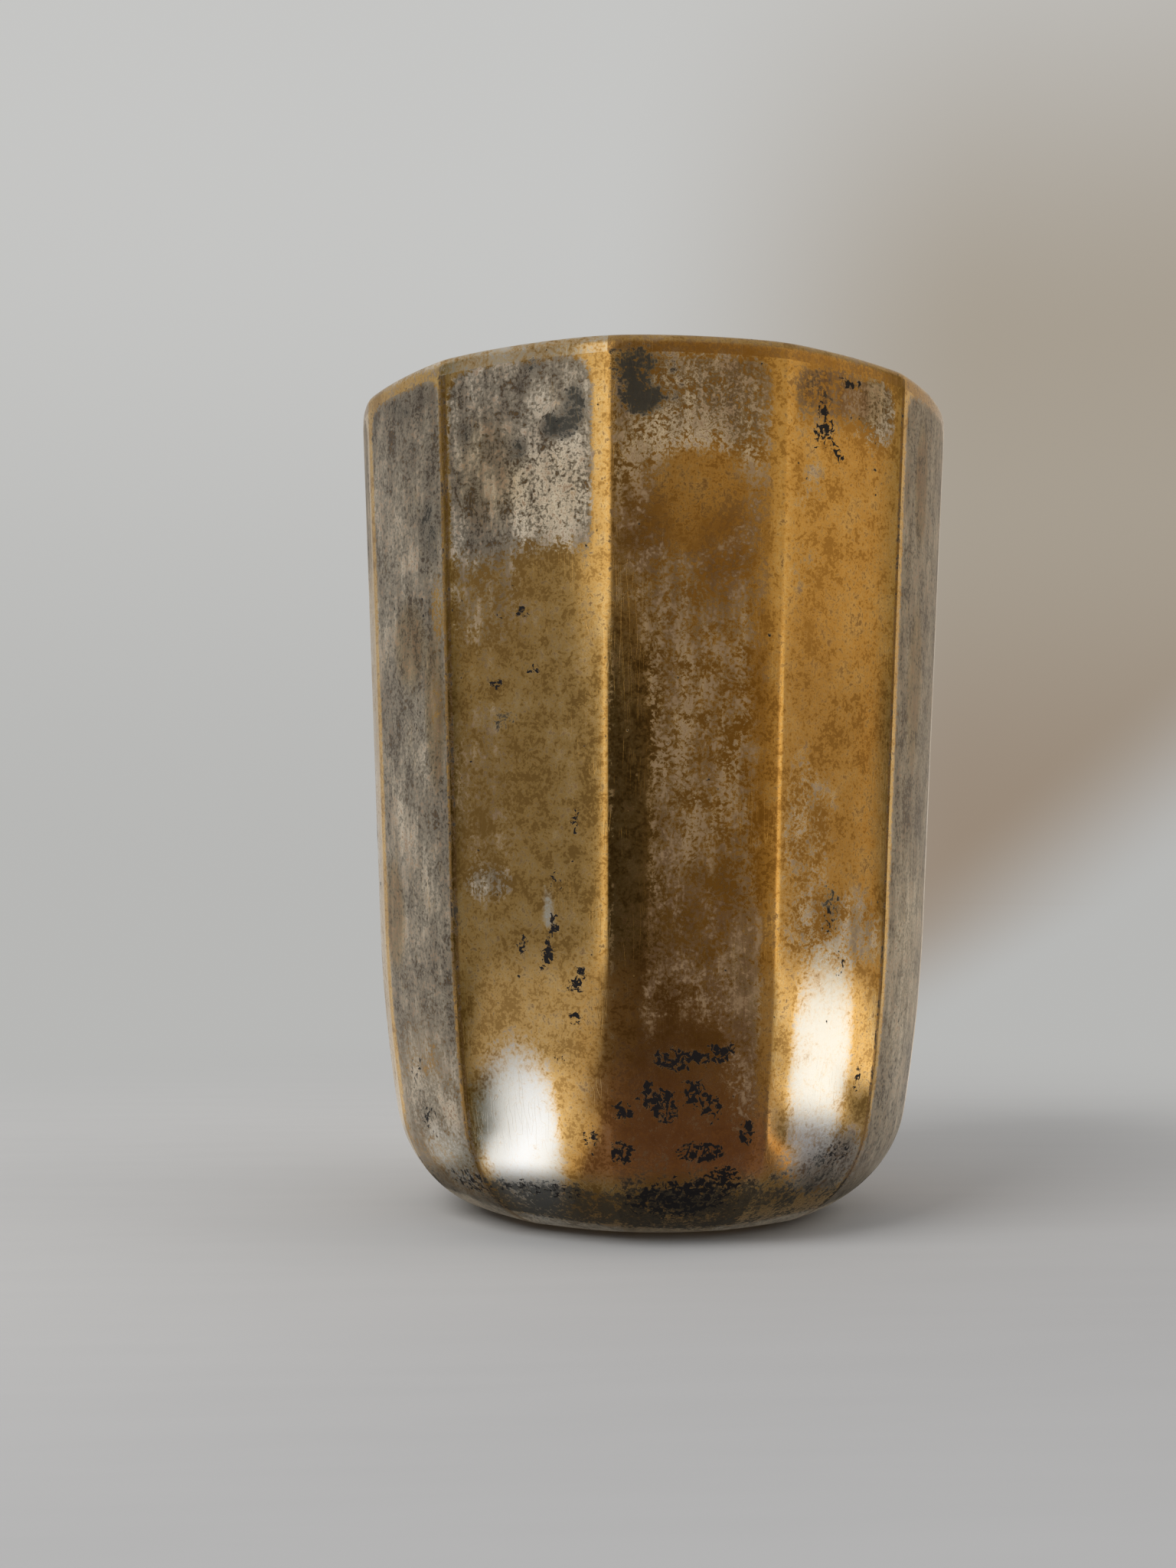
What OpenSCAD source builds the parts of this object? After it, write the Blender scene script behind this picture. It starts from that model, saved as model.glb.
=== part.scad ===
// Double-walled faceted metal tumbler.
// A pressed outer shell with bowed facets holds a plain round liner. A faceted rim ring
// joins the two walls at the mouth, and a base plate closes the shell underneath.
// The origin is the centre of the standing face. +Z points up, and one facet faces -Y.

/* [Body] */
// Overall height
height = 100; // [90:1:115]
// Width across opposite facets at the rim
across_flats = 74.2; // [70:0.2:84]
// Number of facets round the body
facet_count = 12; // [8:1:16]
// How far each facet's centre of bow lies behind the axis; larger is flatter
facet_bow = 20; // [5:1:80]
// Lean of the wall from upright, in degrees
wall_lean = 2.8; // [2:0.1:3.4]

/* [Foot] */
// Height at which the belly curve begins
belly_height = 36; // [32:1:42]
// Radius of the belly curve, which draws the wall in above the foot
belly_radius = 200; // [170:5:260]
// Radius of the rounded foot
foot_radius = 15.5; // [14.5:0.5:16.5]
// Radius of the round opening in the shell's underside
base_opening_radius = 21; // [20.5:0.1:21.5]
// Thickness of the base plate that fills the opening
base_thickness = 2.2; // [2:0.1:2.4]
// Radius of the shallow recess under the base plate
recess_radius = 12; // [8:0.5:13]
// Depth of that recess
recess_depth = 0.6; // [0.3:0.1:0.8]

/* [Walls] */
// Thickness of the outer shell
shell_thickness = 0.8; // [0.6:0.1:0.9]
// Air gap between the shell and the liner
wall_gap = 0.7; // [0.6:0.1:1]
// Thickness of the liner
liner_thickness = 0.7; // [0.5:0.1:0.9]
// Height of the liner's underside above the table
liner_lift = 3.4; // [3.3:0.1:4.5]
// Inner rounding of the liner between its wall and floor
liner_corner = 13; // [11:0.5:14]

/* [Rim] */
// Height of the rim ring above the shell's edge
rim_height = 2.2; // [1.8:0.1:3]
// Rounding of the rim's outer edge, which follows the facets
rim_outer_round = 1.2; // [0.8:0.1:1.3]
// Rounding of the rim's inner edge
rim_inner_round = 0.6; // [0.4:0.1:0.7]
// Depth of the tongue that the rim ring sets down between the walls
tongue_depth = 3; // [2:0.5:4]

/* [Solder] */
// Height of the solder bead under the rim ring's tongue
rim_bead = 1.2; // [0.8:0.1:1.5]
// Width of the solder bead on the base plate's edge
base_bead = 1.1; // [0.8:0.1:1.2]
// Room left for solder to run into a joint
solder_gap = 0.05; // [0.04:0.01:0.1]

/* [Hidden] */
$fn = 128;
// Straight steps across one facet, down the belly and round the foot
facet_steps = 6;
belly_steps = 4;
foot_steps = 9;

facet_angle = 360 / facet_count;
rim_radius = across_flats / 2;
shoulder_z = height - rim_height;
liner_inset = shell_thickness + wall_gap;
mouth_inset = liner_inset + liner_thickness;
plate_radius = base_opening_radius - solder_gap;
// Room past a face for a cutting shape
past = 1;

gold = [0.80, 0.62, 0.28];
pale_gold = [0.86, 0.74, 0.46];
worn_silver = [0.66, 0.63, 0.58];
solder_grey = [0.60, 0.60, 0.62];

// A wall's side is one smooth line: a straight lean, then the belly curve, then the foot curve.
// A wall set further in by inset keeps the centre of the belly curve.
function outward(lean) = [cos(lean), -sin(lean)];
function wall_radius(inset, z) = rim_radius - (shoulder_z - z) * tan(wall_lean) - inset / cos(wall_lean);

belly_centre = [wall_radius(0, belly_height), belly_height] - belly_radius * outward(wall_lean);
function belly_point(inset, lean) = belly_centre + (belly_radius - inset) * outward(lean);

// The foot curve touches the belly curve from inside and the floor from above. A wall's foot
// is given as [height of the floor, radius of the foot curve].
function foot_lean(inset, foot) =
    asin((belly_centre.y - foot[0] - foot[1]) / (belly_radius - inset - foot[1]));
function foot_centre(inset, foot) =
    belly_centre + (belly_radius - inset - foot[1]) * outward(foot_lean(inset, foot));

function shell_foot(inset) = [inset, foot_radius - inset];
liner_outer_foot = [liner_lift, liner_corner + liner_thickness];
liner_inner_foot = [liner_lift + liner_thickness, liner_corner];

// Height of the shell's inner face at a radius under the foot
function inner_foot_z(radius) =
    let (hub = foot_centre(shell_thickness, shell_foot(shell_thickness)))
    hub.y - sqrt(pow(foot_radius - shell_thickness, 2) - pow(radius - hub.x, 2));

// A facet is an arc about a point facet_bow behind the axis. At an angle from its middle,
// these give its radius from that at its middle, and the other way round.
function facet_radius(middle, angle) =
    sqrt(pow(middle + facet_bow, 2) - pow(facet_bow * sin(angle), 2)) - facet_bow * cos(angle);
function facet_middle(radius, angle) =
    sqrt(pow(radius, 2) + 2 * radius * facet_bow * cos(angle) + pow(facet_bow, 2)) - facet_bow;

// Side line of the shell at an angle from a facet's middle, as [radius at the middle, height]
// points from the shoulder down to the round opening.
function shell_side(inset, angle) =
    let (
        foot = shell_foot(inset),
        hub = foot_centre(inset, foot),
        start = foot_lean(inset, foot),
        end = acos((facet_middle(base_opening_radius, angle) - hub.x) / foot[1])
    )
    concat(
        [[wall_radius(inset, shoulder_z), shoulder_z]],
        [for (k = [0 : belly_steps]) belly_point(inset, wall_lean + (start - wall_lean) * k / belly_steps)],
        [for (k = [1 : foot_steps]) hub + foot[1] * outward(start + (end - start) * k / foot_steps)]
    );

function backwards(list) = [for (k = [len(list) - 1 : -1 : 0]) list[k]];
function shell_loop(angle) = concat(shell_side(0, angle), backwards(shell_side(shell_thickness, angle)));

// A point of a side line, put at a direction round the axis from -Y.
function placed(point, angle, direction) =
    let (radius = facet_radius(point[0], angle))
    [radius * sin(direction), -radius * cos(direction), point[1]];

// Pressed outer wall. It is lofted through its side lines, from ridge to ridge round the body,
// so each facet bows, draws in at the belly and runs round the foot to the opening.
module faceted_shell() {
    columns = facet_count * facet_steps;
    rows = len(shell_loop(0));
    points = [
        for (column = [0 : columns - 1])
            let (
                angle = ((column % facet_steps) / facet_steps - 0.5) * facet_angle,
                direction = (column / facet_steps - 0.5) * facet_angle
            )
            for (point = shell_loop(angle)) placed(point, angle, direction)
    ];
    triangles = [
        for (column = [0 : columns - 1], row = [0 : rows - 1])
            let (
                here = column * rows,
                next = (column + 1) % columns * rows,
                below = (row + 1) % rows
            )
            each [
                [here + row, next + row, next + below],
                [here + row, next + below, here + below]
            ]
    ];
    color(gold) polyhedron(points, triangles, convexity = 4);
}

// Filled half section of a whole round cup up to a height.
module cup_section(inset, foot, top) {
    hub = foot_centre(inset, foot);
    start = belly_point(inset, wall_lean);
    heel = belly_point(inset, foot_lean(inset, foot));
    polygon([[0, foot[0]], [hub.x, foot[0]], heel, start, [wall_radius(inset, top), top], [0, top]]);
    translate(hub) circle(foot[1]);
    intersection() {
        translate(belly_centre) circle(belly_radius - inset);
        polygon([start, heel, heel + [past, 0], start + [past, 0]]);
    }
}

// Plain round cup that holds the drink.
module inner_liner() {
    color(pale_gold)
        rotate_extrude()
            difference() {
                cup_section(liner_inset, liner_outer_foot, shoulder_z);
                cup_section(mouth_inset, liner_inner_foot, shoulder_z + past);
            }
}

// Half section of a disc with a rounded top edge, which is turned about a facet's centre of bow.
module facet_disc() {
    reach = facet_bow + rim_radius;
    hub = [reach - rim_outer_round, height - rim_outer_round];
    intersection() {
        union() {
            square([hub.x, height]);
            square([reach, hub.y]);
            translate(hub) circle(rim_outer_round);
        }
        translate([0, shoulder_z]) square([reach, rim_height]);
    }
}

// Section of the mouth. It carries on the liner's inside and flares over the rim's inner edge.
module mouth_opening() {
    lip = wall_radius(mouth_inset, height - rim_inner_round);
    low = shoulder_z - past;
    polygon([
        [0, low],
        [wall_radius(mouth_inset, low), low],
        [lip, height - rim_inner_round],
        [lip, height + past],
        [0, height + past]
    ]);
    difference() {
        translate([lip - past, height - rim_inner_round]) square(rim_inner_round + past);
        translate([lip + rim_inner_round, height - rim_inner_round]) circle(rim_inner_round);
        translate([lip + rim_inner_round, height - rim_inner_round]) square(2 * past);
    }
}

// Ring that fills the gap between the two walls from one height to another.
module gap_ring(low, high) {
    inner = [for (z = [low, high]) [wall_radius(liner_inset, z), z]];
    outer = [for (z = [high, low]) [wall_radius(shell_thickness, z) - solder_gap, z]];
    rotate_extrude() polygon(concat(inner, outer));
}

// Rim ring: what all the facets' discs have in common, with a round mouth and a tongue that
// locates both walls.
module rim_ring() {
    color(gold) {
        difference() {
            intersection_for (i = [0 : facet_count - 1])
                rotate(i * facet_angle - 90)
                    translate([-facet_bow, 0])
                        rotate_extrude() facet_disc();
            rotate_extrude() mouth_opening();
        }
        gap_ring(shoulder_z - tongue_depth, shoulder_z);
    }
}

// Base plate: it carries on the foot's curve down to a flat standing ring round a shallow recess.
module base_plate() {
    color(worn_silver)
        rotate_extrude()
            difference() {
                intersection() {
                    cup_section(0, shell_foot(0), shoulder_z);
                    square([plate_radius, base_thickness]);
                }
                square([recess_radius, recess_depth]);
            }
}

// Solder that joins shell, liner and tongue at the mouth.
module rim_solder_bead() {
    top = shoulder_z - tongue_depth;
    color(solder_grey) gap_ring(top - rim_bead, top);
}

// Solder that joins the base plate's edge to the shell, inside the gap.
module base_solder_bead() {
    middle = base_opening_radius + base_bead;
    edge = middle + base_bead;
    color(solder_grey)
        rotate_extrude()
            polygon([
                [plate_radius - base_bead, base_thickness],
                [middle, max(base_thickness, inner_foot_z(middle) + solder_gap)],
                [edge, inner_foot_z(edge) + solder_gap]
            ]);
}

faceted_shell();
inner_liner();
rim_ring();
base_plate();
rim_solder_bead();
base_solder_bead();
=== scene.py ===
"""Worn gilt tumbler with twelve bowed facets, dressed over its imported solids, with a plain studio."""

import math

import bpy
import numpy as np
from bpy.props import FloatProperty, FloatVectorProperty, PointerProperty
from mathutils import Matrix, Vector


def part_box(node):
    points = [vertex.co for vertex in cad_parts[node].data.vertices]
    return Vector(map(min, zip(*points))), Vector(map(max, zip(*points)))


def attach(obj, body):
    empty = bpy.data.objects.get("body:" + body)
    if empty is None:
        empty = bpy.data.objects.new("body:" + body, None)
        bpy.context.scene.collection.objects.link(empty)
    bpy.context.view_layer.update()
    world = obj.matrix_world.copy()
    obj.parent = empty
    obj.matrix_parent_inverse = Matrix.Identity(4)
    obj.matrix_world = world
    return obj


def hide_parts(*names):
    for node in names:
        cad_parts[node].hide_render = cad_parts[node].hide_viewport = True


bl_info = {
    "name": "Gilt Faceted Tumbler",
    "version": (1, 0, 0),
    "blender": (4, 5, 0),
    "location": "3D View > Sidebar > Tumbler",
    "description": "Builds a worn gilt tumbler with bowed facets, and a plain studio for it",
    "category": "Add Mesh",
}

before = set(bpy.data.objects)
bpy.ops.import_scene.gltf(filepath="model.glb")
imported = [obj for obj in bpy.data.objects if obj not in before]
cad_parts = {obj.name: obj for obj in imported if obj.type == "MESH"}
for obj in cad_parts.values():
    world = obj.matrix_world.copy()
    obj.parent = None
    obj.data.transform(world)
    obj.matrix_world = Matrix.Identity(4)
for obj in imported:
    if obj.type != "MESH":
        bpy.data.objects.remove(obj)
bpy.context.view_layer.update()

MM = 0.001
FACETS = 12
HALF_FACET = math.pi / FACETS

# Points of each grid: across one facet, with the share of even spacing among them, down the wall, belly and
# foot of the shell's outside and inside, up the rim and over its edge, round a turned piece, and the rings
# and columns of the floor
ACROSS = 44
EVEN_SHARE = 0.22
OUTSIDE_ROWS = (70, 28, 44)
INSIDE_ROWS = (4, 4, 6)
RIM_ROWS = (6, 15)
ROUND_COLUMNS = 192
FLOOR_GRID = (24, 96)
# Points of a line that are closer than this, in metres, are taken as one
SAME_POINT = 1e-7
# Edges between faces that meet at more than these angles are shaded sharp
FACET_SHARP = math.radians(40)
TURNED_SHARP = math.radians(35)
# How far the edges of the base plate are eased
EDGE_EASE = 0.12 * MM
# How many times softer than lower down the ridges are at the rim's top
RIM_SOFTER = 5

# Hand finishing leaves the ridges a little off their even places, and some of them softer.
RIDGE_SHIFT = np.radians([0.6, 1.6, -0.45, 0.5, -0.8, 0.3, 1.0, -0.6, 0.4, -1.1, 0.7, -1.7])
RIDGE_SOFT = MM * np.array([0.040, 0.028, 0.014, 0.02, 0.03, 0.02, 0.015, 0.025, 0.03, 0.02, 0.015, 0.012])

# How the gilding has worn on each facet, counted from the one that faces -Y towards +X:
# wear over the whole panel, wear of a patch at its top, the height in mm where that patch ends,
# brown staining, the width in mm of the sound gilding left along its first and second ridge,
# the brown line along each of those ridges, and how dark its toe grows towards the bottom.
PANELS = np.array([
    [0.46, 0.14, 87, 0.42, 0.5, 1.6, 0.30, 0.20, 0.85],
    [0.04, 0.50, 91, 0.10, 1.0, 1.8, 0.00, 1.00, 0.60],
    [0.84, 0.00, 80, 0.16, 0.8, 1.5, 0.10, 0.30, 0.30],
    [0.30, 0.40, 70, 0.25, 1.4, 1.8, 0.60, 0.10, 0.60],
    [0.12, 0.55, 82, 0.15, 1.0, 1.6, 0.20, 0.70, 0.80],
    [0.75, 0.10, 75, 0.18, 1.5, 1.2, 0.10, 0.40, 0.40],
    [0.22, 0.45, 64, 0.30, 0.8, 1.8, 0.50, 0.20, 0.70],
    [0.10, 0.60, 86, 0.12, 1.6, 1.0, 0.30, 0.60, 0.85],
    [0.62, 0.20, 72, 0.25, 1.2, 1.6, 0.20, 0.30, 0.50],
    [0.28, 0.40, 78, 0.20, 1.8, 0.9, 0.70, 0.20, 0.70],
    [0.86, 0.00, 80, 0.12, 1.2, 0.5, 0.20, 0.75, 0.30],
    [0.10, 0.72, 77, 0.08, 0.8, 1.7, 1.00, 0.00, 0.85],
])
# Wear, brown staining and polish of the rim over each facet
RIM_BAND = np.array([
    [0.20, 0.74, 0.00],
    [0.22, 0.72, 0.00],
    [0.28, 0.60, 0.06],
    [0.22, 0.70, 0.10],
    [0.40, 0.45, 0.00],
    [0.18, 0.75, 0.20],
    [0.34, 0.55, 0.10],
    [0.16, 0.80, 0.00],
    [0.38, 0.50, 0.15],
    [0.20, 0.70, 0.05],
    [0.40, 0.40, 0.12],
    [0.18, 0.06, 0.40],
])

# Marks: facet, mm across from its middle, height in mm, half width, half height, strength.
# Wear adds to the panel's wear, tone makes the bare plate paler or darker, and crust mottles it more
# coarsely. Stain, smoke, specks and polish each lay their own colour on the metal. The polish marks also
# paint highlights, and two smoke marks a dark reflection, as said at those marks.
WEAR_MARKS = [
    (11, -5, 49, 4, 10, 0.22), (11, -4.6, 72, 5, 6, 0.32), (11, -4.3, 40.2, 3, 1.8, 0.40),
    (11, -1, 28, 8, 9, -0.06),
    (0, 0, 82, 5, 5.4, -0.56), (0, -7.8, 45, 2.6, 26, -0.72), (0, 8.2, 60, 2.2, 30, -0.30),
    (0, 5.8, 26, 2.4, 12, 0.20), (0, -1.5, 17, 6.5, 9, -0.44),
    (1, 4.3, 94, 2.8, 5, 0.26), (1, -6.2, 84, 2.6, 3.4, 0.22), (1, -5.7, 75, 3.2, 3, 0.18),
    (1, -5.4, 46.5, 4.4, 8, 0.34), (1, 0, 35, 8, 4.5, 0.42), (1, 2.5, 9, 7, 4, 0.80),
    (10, 7.6, 71.5, 1.2, 4, -0.40), (10, 6.8, 60, 1.4, 4, -0.25), (10, 0, 16, 9, 8, -0.20),
    (10, 0, 6, 12, 9, 0.60),
    (2, 0, 7, 12, 10, 0.70),
]
TONE_MARKS = [
    (11, 3.4, 83, 5.4, 5.4, 0.52), (11, 5.8, 93, 3.4, 4.4, 0.22), (11, 5.6, 88, 2.6, 2.4, 0.18),
    (11, -5.8, 89.4, 2.6, 1.8, 0.14), (11, -4.4, 83, 4, 5, 0.02), (11, -3, 93, 5, 4, 0.10),
    (11, -4.3, 40.2, 2.6, 1.5, 0.16),
    (0, -2.6, 89.4, 5, 3, 0.46), (0, -2, 94.8, 2.4, 2.6, 0.16), (0, -7.4, 84, 1.5, 4.2, 0.30),
    (0, 3.4, 93, 6, 5, -0.16), (0, 5.6, 86, 2.6, 3, 0.20), (0, -0.5, 58, 6, 14, 0.20),
    (0, 6, 26, 2.2, 12, 0.14),
    (1, 4.4, 93.8, 2.2, 4.2, 0.20), (1, -3.5, 95.2, 5, 3, -0.26), (1, 0, 36, 8, 5, -0.04),
    (10, -2, 33, 2.8, 4, 0.14), (10, 1.5, 50, 5.5, 9, 0.12), (10, -3, 84, 4.5, 9, 0.08),
    (10, 1.5, 96, 7, 3, -0.16), (10, 1, 14, 8, 8, 0.30), (10, 0, 50, 9, 50, 0.08),
    (2, -2, 86, 4.5, 6, -0.08), (2, -1, 30, 6, 12, 0.28), (2, 0, 50, 9, 50, 0.06),
]
STAIN_MARKS = [
    (0, 0.5, 16, 9, 10, 0.45), (0, 2.8, 77, 3, 5, 0.36), (0, -5.8, 79, 3, 4.5, 0.34),
    (0, -0.5, 83, 4.6, 4.6, -0.24), (0, 0, 33, 9.5, 8, 0.24), (0, 1, 91, 8, 6, -0.14),
    (0, -7.8, 45, 2.6, 26, -0.40),
    (1, -2, 95.4, 7, 3.4, 0.60), (1, -5, 66, 4, 8, 0.14),
    (11, -5.2, 50, 4, 9, 0.22), (11, -4, 70, 5, 6, 0.16), (11, -4, 86, 4, 6, 0.16),
    (11, 3.4, 83, 5, 5, 0.10),
    (10, 6.4, 60, 1.8, 8, 0.32), (10, -5.8, 36.5, 2.8, 5.5, 0.36), (10, 1, 68, 3.5, 4.5, 0.26),
    (2, -3.5, 88, 1.8, 6, 0.36), (2, -3, 64, 2.2, 8, 0.26),
]
SMOKE_AND_SHADE_MARKS = [
    (0, -7, 96.4, 2.4, 1.9, 0.92), (0, -6.2, 92.7, 2, 1.7, 0.86), (0, -5, 94.4, 3.4, 3.4, 0.28),
    (0, 0.5, 5, 9, 3.4, 0.62), (0, -1, 13, 8, 5, 0.12),
    (11, 6.2, 92.4, 1.2, 2.2, 0.84), (11, 4.7, 90.1, 2, 1.5, 0.90), (11, -0.2, 87.6, 1.3, 1.7, 0.70),
    (11, 1.9, 97, 1.4, 1, 0.56), (11, 0.5, 95, 1.1, 1, 0.50), (11, -6.6, 90.6, 1.2, 1.4, 0.46),
    (11, -2.1, 58.2, 1.3, 1.1, 0.50), (11, -1, 5, 9, 2, 0.90),
    # The first two smoke marks on facet 1 are painted shade: the dark reflection under the highlight on its
    # toe
    (1, 3.4, 9.4, 5, 2.8, 0.36), (1, -4, 6.6, 5, 2.2, 0.38), (1, -1.1, 37.5, 1.5, 2.6, 0.50),
    (1, -4.8, 95, 2.8, 2.4, 0.34),
    (10, 6.4, 80, 2.2, 4, 0.50), (10, -8, 96, 1.3, 2.4, 0.44), (10, 2, 96.2, 5.5, 1.8, 0.34),
    (10, 2, 60, 2, 3.5, 0.24),
]
SPECK_MARKS = [
    (1, -0.2, 96.6, 2.8, 0.9, 0.86), (1, -6.8, 96.4, 1.2, 0.8, 0.60), (1, -4.6, 93, 0.9, 1.4, 0.92),
    (1, -5.1, 89.8, 1.1, 2.2, 0.94), (1, -3.4, 90.8, 1, 1.8, 0.94), (1, -2, 88.2, 1.2, 1.4, 0.90),
    (1, 1.2, 92.8, 0.9, 0.8, 0.62),
    (11, -3, 62.3, 1.3, 0.9, 0.98), (11, 0, 70, 1.4, 0.8, 0.90), (11, -2.6, 69.8, 0.9, 0.8, 0.86),
    (11, -0.8, 72.7, 1, 0.7, 0.80), (11, 1.4, 63.6, 1.2, 0.9, 0.86), (11, 5.5, 47.3, 0.7, 2.6, 0.90),
    (11, 3.4, 40.7, 1, 1.3, 0.88), (11, 3.3, 36.4, 0.8, 1.8, 0.90), (11, 2.7, 33.6, 0.8, 2, 0.98),
    (11, 2.1, 31.4, 0.8, 1.6, 0.90), (11, -0.4, 33.5, 1, 1.6, 0.90), (11, 5.8, 30.3, 1, 1.8, 0.88),
    (11, 5.1, 28.8, 1.1, 0.9, 0.78), (11, 5.4, 25.8, 1.6, 1.1, 0.88), (11, 3.4, 21.1, 1, 0.9, 0.82),
    (11, 6.2, 12.5, 1.2, 1.8, 0.86), (11, -1, 6.4, 8, 1.4, 0.54),
    (0, -2.2, 21.3, 2, 1.5, 0.98), (0, 1, 21.8, 2.6, 0.9, 0.90), (0, 3.4, 22.3, 1.4, 1.3, 0.92),
    (0, -4.7, 17.6, 1.3, 1.3, 0.95), (0, -7.3, 15.8, 1.2, 1.2, 0.88), (0, -2.7, 16.2, 1.5, 1.6, 0.94),
    (0, 0.4, 17.6, 1.2, 1.3, 0.92), (0, 2.1, 16, 1.3, 1.2, 0.90), (0, 6.2, 13.3, 0.9, 1.6, 0.86),
    (0, 1.1, 11.2, 2.6, 1.1, 0.92), (0, -7.6, 11.2, 1.8, 1.4, 0.90), (0, 3.9, 8, 2, 1.4, 0.90),
    (0, -1, 5.6, 6, 2.6, 0.52), (0, 0, 14, 8, 10, 0.42), (0, -5, 47, 2.6, 5, 0.34),
    (0, 2, 60, 5, 8, 0.36), (0, 2, 88, 6, 6, 0.36),
    (1, -1, 36.6, 1.5, 2.6, 0.80), (1, 0.6, 31.5, 1.8, 2.4, 0.62), (1, 5.6, 18.4, 1.2, 2.4, 0.74),
    (1, 3.2, 9.6, 3.4, 1.8, 0.78),
    (10, -2.1, 17.5, 2.4, 5, 0.66), (10, 0.8, 12.6, 2.6, 2.2, 0.72), (10, 4, 6.4, 5, 1.8, 0.70),
    (2, -2, 24, 1.6, 7, 0.60),
]
CRUST_MARKS = [
    (0, 1, 90, 9, 8, 0.85), (0, -0.5, 58, 7, 18, 0.25),
    (11, 3.4, 84, 5.4, 6, 0.45),
    (1, 2, 93, 7, 5, 0.50),
    (10, 0, 50, 20, 80, -0.12),
    (2, 0, 50, 20, 80, -0.12),
]
# Polish marks. Those on facets 11 and 1 paint highlights: the white patches on their toes, and a small glint
# 37.7 mm up facet 11. The one on facet 10 and the strewn ones are polish.
POLISH_HIGHLIGHT_MARKS = [
    (11, -1.9, 12, 5, 9.5, 1.12), (11, 5.4, 14, 2.6, 12, -0.48), (11, 2.5, 37.7, 0.6, 2.2, 0.70),
    (1, -1.2, 21, 5.2, 11.5, 0.92), (1, -8.4, 20, 2.4, 14, -0.60), (1, 6.4, 20, 2.6, 14, -0.45),
    (10, 3, 9, 5, 3.6, 0.60),
]


def box_side(node, corner, axis):
    """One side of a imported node's box, in metres."""
    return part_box(node)[corner][axis]


def length(name, description, default):
    """A length property, in metres."""
    return FloatProperty(name=name, description=description, default=default, unit="LENGTH")


def colour(name, description, default):
    """A colour property."""
    return FloatVectorProperty(
        name=name, description=description, default=default, subtype="COLOR", min=0, max=1)


class TumblerSizes(bpy.types.PropertyGroup):
    """Sizes of the tumbler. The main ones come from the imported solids."""

    height: length("Height", "Height of the rim's top", box_side("rim_ring", 1, 2))
    shoulder: length(
        "Shoulder", "Height where the shell meets the rim ring", box_side("faceted_shell", 1, 2))
    rim_radius: length(
        "Rim radius", "Radius at a facet's middle, at the shoulder", box_side("faceted_shell", 1, 1))
    facet_bow: length("Facet bow", "How far a facet's centre of bow lies behind the axis", 20 * MM)
    wall_lean: FloatProperty(
        name="Wall lean", description="Lean of the wall from upright",
        default=math.radians(2.8), subtype="ANGLE")
    belly_height: length("Belly height", "Height at which the belly curve begins", 36 * MM)
    belly_radius: length("Belly radius", "Radius of the belly curve", 200 * MM)
    foot_radius: length("Foot radius", "Radius of the rounded foot", 15.5 * MM)
    opening_radius: length("Opening radius", "Radius of the round opening under the shell", 21 * MM)
    shell_thickness: length("Shell thickness", "Thickness of the outer wall", 0.8 * MM)
    liner_inset: length("Liner inset", "From the shell's outer face to the liner's outer face", 1.5 * MM)
    mouth_inset: length("Mouth inset", "From the shell's outer face to the liner's inner face", 2.2 * MM)
    liner_corner: length("Liner corner", "Inner rounding between the liner's wall and floor", 13 * MM)
    rim_outer_round: length("Rim outer round", "Rounding of the rim's outer edge", 1.2 * MM)
    rim_inner_round: length("Rim inner round", "Rounding of the rim's inner edge", 0.6 * MM)
    tongue_low: length(
        "Tongue end", "Height of the lower end of the rim ring's tongue", box_side("rim_ring", 0, 2))
    plate_radius: length("Plate radius", "Radius of the base plate", box_side("base_plate", 1, 0))
    plate_thickness: length("Plate thickness", "Thickness of the base plate", box_side("base_plate", 1, 2))
    recess_radius: length("Recess radius", "Radius of the recess under the base plate", 12 * MM)
    recess_depth: length("Recess depth", "Depth of that recess", 0.6 * MM)
    joint_gap: length("Joint gap", "Room left for solder in a joint", 0.05 * MM)


class TumblerFinish(bpy.types.PropertyGroup):
    """Colours of the metal and of what has grown on it."""

    gilt_deep: colour("Deep gilt", "Gold wash where it has darkened", (0.46, 0.26, 0.08))
    gilt: colour("Gilt", "Gold wash where it survives", (0.74, 0.455, 0.16))
    gilt_pale: colour("Pale gilt", "Gold wash where it is thin and clean", (0.92, 0.64, 0.30))
    plate_dark: colour("Dark plate", "Bare plate where it has dulled to a brown grey", (0.115, 0.088, 0.070))
    plate: colour("Plate", "Bare silver plate where the gold has worn through", (0.385, 0.335, 0.272))
    plate_pale: colour("Pale plate", "Bare plate with a pale bloom", (0.85, 0.75, 0.61))
    # Polished plate, and also the colour of the painted highlights on the toes
    bright: colour("Bright silver", "Plate that is still polished", (0.88, 0.85, 0.80))
    bronze: colour("Bronze stain", "Brown stain on the gilding", (0.24, 0.115, 0.045))
    # Dark tarnish, and also the colour of the painted dark reflection on facet 1's toe
    smoke_and_shade: colour("Smoke", "Soft dark tarnish", (0.022, 0.026, 0.025))
    black: colour("Black tarnish", "Black specks and pits", (0.015, 0.013, 0.014))
    solder: colour("Solder", "Grey solder inside the joints", (0.42, 0.42, 0.43))


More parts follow.
